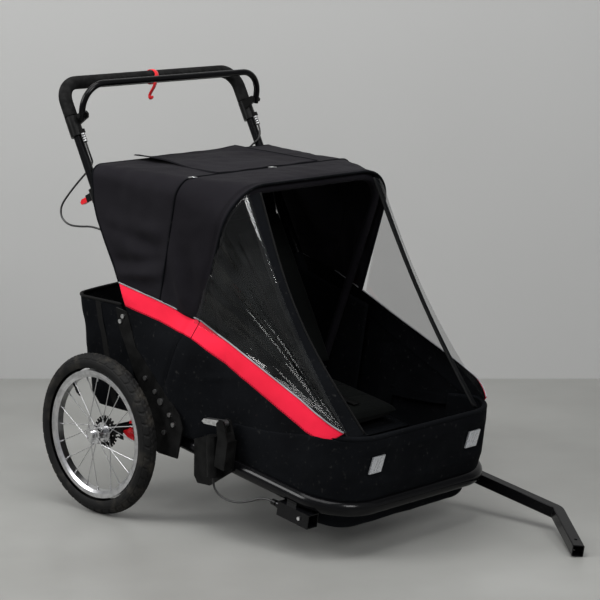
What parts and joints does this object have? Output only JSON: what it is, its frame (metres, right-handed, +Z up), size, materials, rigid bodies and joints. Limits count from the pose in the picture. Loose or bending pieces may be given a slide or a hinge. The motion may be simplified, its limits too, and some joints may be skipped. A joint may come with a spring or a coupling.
{
  "type": "child bicycle trailer",
  "caption": "Two-seat child bicycle trailer with a folding frame, cloth cabin, side windows, rear trunk, telescopic push handle and removable drawbar.",
  "frame": {"origin": "floor, under the middle of the trailer's box, standing on both wheels and the drawbar's end", "axes": "+X forward towards the drawbar, +Y to the trailer's left along the axle, +Z up"},
  "size_m": [1.3018, 0.768, 1.0608],
  "materials": {
    "black_tube": "gloss black powder coat",
    "black_plate": "satin black powder coat",
    "tyre_rubber": "black rubber with a dusty tread",
    "rim_alloy": "brushed alloy",
    "spoke_steel": "bright steel wire",
    "hub_chrome": "polished",
    "bolt_steel": "zinc plated",
    "grip_foam": "matte foam",
    "charcoal_cloth": "woven polyester, light sheen",
    "black_cloth": "woven polyester",
    "seat_cloth": "padded polyester",
    "webbing": "flat woven straps",
    "clear_film": "clear wrinkled vinyl",
    "reflector": "silver reflective",
    "red_plastic": "moulded red",
    "red_cord": "flat red strap",
    "black_plastic": "moulded black",
    "cable_sleeve": "black cable housing"
  },
  "bodies": {
    "base": {"axle_tube": "black_tube", "axle_pins": "bolt_steel", "axle_carriers": "black_plate", "base_frame": "black_tube", "crossbars": "black_tube", "side_plate_right": "black_plate", "side_plate_left": "black_plate", "hoop_brackets": "black_plate", "frame_bolts": "bolt_steel", "front_reflectors": "reflector", "drawbar_socket_right": "black_tube", "drawbar_socket_left": "black_tube", "release_brackets": "black_plate", "release_cable_right": "cable_sleeve", "release_cable_left": "cable_sleeve", "front_panel": "black_cloth", "footwell": "black_cloth", "side_panel_right": "black_cloth", "side_panel_left": "black_cloth", "hood": "charcoal_cloth", "roof": "charcoal_cloth", "roof_flap": "charcoal_cloth", "side_window_right": "clear_film", "side_window_left": "clear_film", "front_pillar_right": "black_cloth", "front_pillar_left": "black_cloth", "rear_panel": "charcoal_cloth", "trunk_bag": "black_cloth", "seat_back": "seat_cloth", "seat_base": "seat_cloth", "harness": "webbing"},
    "wheel_right": {"tyre_right": "tyre_rubber", "rim_right": "rim_alloy", "spokes_right": "spoke_steel", "hub_right": "hub_chrome", "brake_ring_right": "black_plate"},
    "wheel_left": {"tyre_left": "tyre_rubber", "rim_left": "rim_alloy", "spokes_left": "spoke_steel", "hub_left": "hub_chrome", "brake_ring_left": "black_plate"},
    "rear_frame": {"uprights": "black_tube", "upright_clamps": "black_plastic", "brake_cable_right": "cable_sleeve", "brake_cable_left": "cable_sleeve"},
    "front_hoop": {"front_hoop": "black_tube"},
    "handle": {"handle_tube": "black_tube", "foam_grip": "grip_foam", "bail_brackets": "black_plastic", "wrist_strap": "red_cord"},
    "bail": {"brake_bail": "black_tube"},
    "clamp_lever_right": {"clamp_lever_right": "red_plastic"},
    "clamp_lever_left": {"clamp_lever_left": "red_plastic"},
    "release_lever_right": {"release_lever_right": "bolt_steel"},
    "release_lever_left": {"release_lever_left": "bolt_steel"},
    "latch_right": {"latch_plunger_right": "black_plastic"},
    "latch_left": {"latch_plunger_left": "black_plastic"},
    "drawbar": {"drawbar": "black_tube"},
    "parking_brake": {"parking_shaft": "black_plate", "parking_pedal": "red_plastic"}
  },
  "joints": [
    {"name": "wheel_right_spin", "type": "hinge", "parent": "base", "child": "wheel_right", "pos_m": [-0.44644, -0.357, 0.2], "axis": [0, 1, 0], "continuous": true},
    {"name": "wheel_left_spin", "type": "hinge", "parent": "base", "child": "wheel_left", "pos_m": [-0.44644, 0.357, 0.2], "axis": [0, 1, 0], "continuous": true},
    {"name": "frame_fold", "type": "hinge", "parent": "base", "child": "rear_frame", "pos_m": [-0.26043, 0, 0.30286], "axis": [0, 1, 0], "range_deg": [0, 104], "deforming": ["front_panel", "footwell", "side_panel_right", "side_panel_left", "hood", "roof", "roof_flap", "side_window_right", "side_window_left", "front_pillar_right", "front_pillar_left", "rear_panel", "trunk_bag", "seat_back", "seat_base", "harness"]},
    {"name": "hoop_fold", "type": "hinge", "parent": "base", "child": "front_hoop", "pos_m": [-0.27927, 0, 0.29404], "axis": [0, 1, 0], "range_deg": [0, 68]},
    {"name": "handle_slide", "type": "slide", "parent": "rear_frame", "child": "handle", "axis": [-0.4495, 0, 0.8933], "range_m": [-0.08, 0.05], "deforming": ["brake_cable_right", "brake_cable_left"]},
    {"name": "bail_squeeze", "type": "hinge", "parent": "handle", "child": "bail", "pos_m": [-0.55146, 0, 0.97025], "axis": [0, 1, 0], "range_deg": [-40, 0], "stiffness_Nm_per_rad": 1, "springref_deg": 5.73},
    {"name": "clamp_right", "type": "hinge", "parent": "rear_frame", "child": "clamp_lever_right", "pos_m": [-0.52457, -0.3, 0.76997], "axis": [0, 1, 0], "range_deg": [0, 50]},
    {"name": "clamp_left", "type": "hinge", "parent": "rear_frame", "child": "clamp_lever_left", "pos_m": [-0.52457, 0.3, 0.76997], "axis": [0, 1, 0], "range_deg": [0, 50]},
    {"name": "release_right", "type": "hinge", "parent": "base", "child": "release_lever_right", "pos_m": [-0.04562, -0.318, 0.28274], "axis": [0, 1, 0], "range_deg": [0, 35]},
    {"name": "latch_right_slide", "type": "slide", "parent": "base", "child": "latch_right", "axis": [-0.9844, 0, 0.176], "range_m": [0, 0.008], "deforming": ["release_cable_right"]},
    {"name": "release_left", "type": "hinge", "parent": "base", "child": "release_lever_left", "pos_m": [-0.04562, 0.318, 0.28274], "axis": [0, 1, 0], "range_deg": [0, 35]},
    {"name": "latch_left_slide", "type": "slide", "parent": "base", "child": "latch_left", "axis": [-0.9844, 0, 0.176], "range_m": [0, 0.008], "deforming": ["release_cable_left"]},
    {"name": "drawbar_slide", "type": "slide", "parent": "base", "child": "drawbar", "axis": [0.9844, 0, -0.176], "range_m": [0, 0.1]},
    {"name": "parking_pedal", "type": "hinge", "parent": "base", "child": "parking_brake", "pos_m": [-0.39658, 0, 0.2175], "axis": [0, 1, 0], "range_deg": [0, 14]}
  ],
  "couplings": [
    {"joint": "hoop_fold", "follows": "frame_fold", "ratio": 0.65},
    {"joint": "latch_right_slide", "follows": "release_right", "m_per_rad": 0.013},
    {"joint": "latch_left_slide", "follows": "release_left", "m_per_rad": 0.013}
  ]
}
